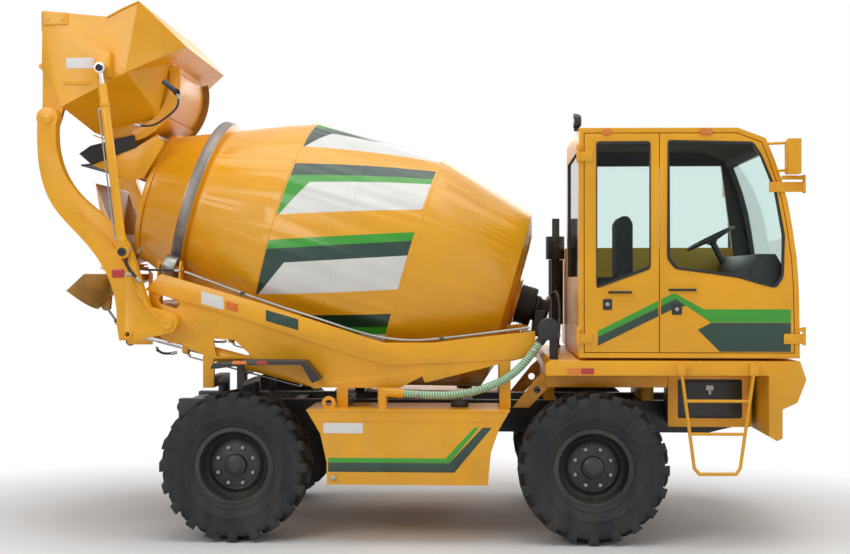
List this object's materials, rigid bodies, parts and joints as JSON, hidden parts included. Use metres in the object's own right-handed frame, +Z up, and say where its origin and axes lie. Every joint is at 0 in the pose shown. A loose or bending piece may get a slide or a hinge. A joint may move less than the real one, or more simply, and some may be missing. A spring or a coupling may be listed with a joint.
{
  "type": "self-loading concrete mixer",
  "caption": "Self-loading concrete mixer: tilted drum on a four-wheel chassis, front cab, rear loading bucket on lifting arms, swivelling chute.",
  "frame": {"origin": "centre of the bounding box on the ground", "axes": "+X to the front, where the cab is, +Y to the left-hand side, +Z up"},
  "size_m": [5.558, 2.6, 3.9086],
  "materials": {
    "paint_yellow": "gloss",
    "paint_black": "satin",
    "cast_black": "matte",
    "tyre_rubber": "matte",
    "rubber_black": "matte",
    "chrome_rod": "gloss",
    "window_glass": "gloss",
    "plastic_black": "matte",
    "seat_cloth": "matte",
    "hose_green": "gloss",
    "steel_bare": "satin",
    "mirror_face": "gloss"
  },
  "bodies": {
    "chassis": {"chassis_frame": "paint_black", "frame_cross_members": "paint_black", "front_axle": "paint_black", "rear_axle": "paint_black", "drum_frame": "paint_yellow", "roller_stand": "paint_yellow", "drum_gearbox": "cast_black", "feed_hopper": "paint_yellow", "hopper_lip": "rubber_black", "discharge_collector": "paint_yellow", "fuel_tank": "paint_yellow", "water_tank": "paint_yellow", "fender_left": "paint_black", "fender_right": "paint_black", "cab_platform": "paint_yellow", "ladder": "paint_black", "cab_body": "paint_yellow", "windscreen": "window_glass", "fixed_windows": "window_glass", "driver_seat": "seat_cloth", "dashboard": "plastic_black", "steering_wheel": "plastic_black", "mirror_right": "mirror_face", "mirror_left": "mirror_face", "engine": "paint_black", "air_cleaner": "plastic_black", "exhaust": "paint_black", "water_pump": "cast_black", "suction_hose": "hose_green"},
    "arm": {"loading_arm": "paint_yellow"},
    "bucket": {"bucket": "paint_yellow"},
    "gate": {"bucket_gate": "paint_yellow"},
    "bucket_barrels": {"bucket_cylinder_barrels": "paint_black"},
    "bucket_rods": {"bucket_cylinder_rods": "chrome_rod"},
    "lift_barrels": {"lift_cylinder_barrels": "paint_yellow"},
    "lift_rods": {"lift_cylinder_rods": "chrome_rod"},
    "chute_swivel": {"chute_carrier": "paint_yellow"},
    "chute": {"chute": "paint_yellow"},
    "jack_tube": {"chute_jack_tube": "paint_yellow"},
    "jack_screw": {"chute_jack_screw": "steel_bare"},
    "drum": {"drum": "paint_yellow"},
    "roller_right": {"roller_right": "steel_bare"},
    "roller_left": {"roller_left": "steel_bare"},
    "door_front": {"door_front": "paint_yellow", "door_front_glass": "window_glass"},
    "door_rear": {"door_rear": "paint_yellow", "door_rear_glass": "window_glass"},
    "hood": {"engine_hood": "paint_yellow"},
    "knuckle_front_right": {"knuckle_front_right": "cast_black"},
    "wheel_front_right": {"rim_front_right": "paint_black", "tyre_front_right": "tyre_rubber"},
    "knuckle_front_left": {"knuckle_front_left": "cast_black"},
    "wheel_front_left": {"rim_front_left": "paint_black", "tyre_front_left": "tyre_rubber"},
    "knuckle_rear_right": {"knuckle_rear_right": "cast_black"},
    "wheel_rear_right": {"rim_rear_right": "paint_black", "tyre_rear_right": "tyre_rubber"},
    "knuckle_rear_left": {"knuckle_rear_left": "cast_black"},
    "wheel_rear_left": {"rim_rear_left": "paint_black", "tyre_rear_left": "tyre_rubber"}
  },
  "joints": [
    {"name": "arm_lift", "type": "hinge", "parent": "chassis", "child": "arm", "pos_m": [-1.754, 0, 1.57], "axis": [0, -1, 0], "range_deg": [0, 105]},
    {"name": "bucket_tilt", "type": "hinge", "parent": "arm", "child": "bucket", "pos_m": [-2.631, 0, 3.049], "axis": [0, -1, 0], "range_deg": [0, 50]},
    {"name": "gate_open", "type": "hinge", "parent": "bucket", "child": "gate", "pos_m": [-2.28, 0, 3.412], "axis": [0, -1, 0], "range_deg": [0, 50]},
    {"name": "bucket_barrel_swing", "type": "hinge", "parent": "arm", "child": "bucket_barrels", "pos_m": [-2.06, 0, 2.078], "axis": [0, -1, 0], "range_deg": [0, 14.7]},
    {"name": "bucket_rod_slide", "type": "slide", "parent": "bucket_barrels", "child": "bucket_rods", "axis": [-0.1253, 0, 0.9921], "range_m": [0, 0.2984]},
    {"name": "lift_barrel_swing", "type": "hinge", "parent": "chassis", "child": "lift_barrels", "pos_m": [-0.7, 0, 1.135], "axis": [0, -1, 0], "range_deg": [0, 3.24]},
    {"name": "lift_rod_slide", "type": "slide", "parent": "lift_barrels", "child": "lift_rods", "axis": [-0.9676, 0, 0.2526], "range_m": [-0.4934, 0]},
    {"name": "chute_swing", "type": "hinge", "parent": "chassis", "child": "chute_swivel", "pos_m": [-2.365, 0, 1.985], "axis": [0, 0, 1], "range_deg": [-50, 50]},
    {"name": "chute_tilt", "type": "hinge", "parent": "chute_swivel", "child": "chute", "pos_m": [-2.365, 0, 1.9], "axis": [0, -1, 0], "range_deg": [-5, 8]},
    {"name": "jack_swing", "type": "hinge", "parent": "chute_swivel", "child": "jack_tube", "pos_m": [-2.315, 0, 1.385], "axis": [0, -1, 0], "range_deg": [-3.24, 2.02]},
    {"name": "jack_screw_slide", "type": "slide", "parent": "jack_tube", "child": "jack_screw", "axis": [-0.5855, 0, 0.8107], "range_m": [-0.0378, 0.0236]},
    {"name": "steer_front_right", "type": "hinge", "parent": "chassis", "child": "knuckle_front_right", "pos_m": [1.305, -0.745, 0.5375], "axis": [0, 0, 1], "range_deg": [-28, 28]},
    {"name": "wheel_front_right_spin", "type": "hinge", "parent": "knuckle_front_right", "child": "wheel_front_right", "pos_m": [1.305, -0.945, 0.5375], "axis": [0, 1, 0], "continuous": true},
    {"name": "steer_front_left", "type": "hinge", "parent": "chassis", "child": "knuckle_front_left", "pos_m": [1.305, 0.745, 0.5375], "axis": [0, 0, 1], "range_deg": [-28, 28]},
    {"name": "wheel_front_left_spin", "type": "hinge", "parent": "knuckle_front_left", "child": "wheel_front_left", "pos_m": [1.305, 0.945, 0.5375], "axis": [0, 1, 0], "continuous": true},
    {"name": "steer_rear_right", "type": "hinge", "parent": "chassis", "child": "knuckle_rear_right", "pos_m": [-1.265, -0.745, 0.5375], "axis": [0, 0, 1], "range_deg": [-28, 28]},
    {"name": "wheel_rear_right_spin", "type": "hinge", "parent": "knuckle_rear_right", "child": "wheel_rear_right", "pos_m": [-1.265, -0.945, 0.5375], "axis": [0, 1, 0], "continuous": true},
    {"name": "steer_rear_left", "type": "hinge", "parent": "chassis", "child": "knuckle_rear_left", "pos_m": [-1.265, 0.745, 0.5375], "axis": [0, 0, 1], "range_deg": [-28, 28]},
    {"name": "wheel_rear_left_spin", "type": "hinge", "parent": "knuckle_rear_left", "child": "wheel_rear_left", "pos_m": [-1.265, 0.945, 0.5375], "axis": [0, 1, 0], "continuous": true},
    {"name": "drum_spin", "type": "hinge", "parent": "chassis", "child": "drum", "pos_m": [-1.029, 0, 2.231], "axis": [0.9593, 0, -0.2823], "continuous": true},
    {"name": "roller_right_spin", "type": "hinge", "parent": "chassis", "child": "roller_right", "pos_m": [-1.82484, -0.67252, 1.97435], "axis": [0.9593, 0, -0.2823], "continuous": true},
    {"name": "roller_left_spin", "type": "hinge", "parent": "chassis", "child": "roller_left", "pos_m": [-1.82484, 0.67252, 1.97435], "axis": [0.9593, 0, -0.2823], "continuous": true},
    {"name": "door_front_swing", "type": "hinge", "parent": "chassis", "child": "door_front", "pos_m": [2.758, -1.168, 2], "axis": [0, 0, 1], "range_deg": [0, 95]},
    {"name": "door_rear_swing", "type": "hinge", "parent": "chassis", "child": "door_rear", "pos_m": [1.19, -1.168, 2], "axis": [0, 0, -1], "range_deg": [0, 95]},
    {"name": "hood_tilt", "type": "hinge", "parent": "chassis", "child": "hood", "pos_m": [2.67, 0, 1.322], "axis": [0, 1, 0], "range_deg": [0, 55]}
  ],
  "couplings": [
    {"joint": "bucket_barrel_swing", "follows": "bucket_tilt", "ratio": 0.27737},
    {"joint": "bucket_rod_slide", "follows": "bucket_tilt", "m_per_rad": 0.32256},
    {"joint": "lift_barrel_swing", "follows": "arm_lift", "ratio": 0.02907},
    {"joint": "lift_rod_slide", "follows": "arm_lift", "m_per_rad": -0.254},
    {"joint": "jack_swing", "follows": "chute_tilt", "ratio": -0.38176},
    {"joint": "jack_screw_slide", "follows": "chute_tilt", "m_per_rad": -0.25537},
    {"joint": "steer_front_left", "follows": "steer_front_right", "ratio": 1},
    {"joint": "steer_rear_left", "follows": "steer_rear_right", "ratio": 1},
    {"joint": "roller_right_spin", "follows": "drum_spin", "ratio": -8.1222},
    {"joint": "roller_left_spin", "follows": "drum_spin", "ratio": -8.1222}
  ]
}
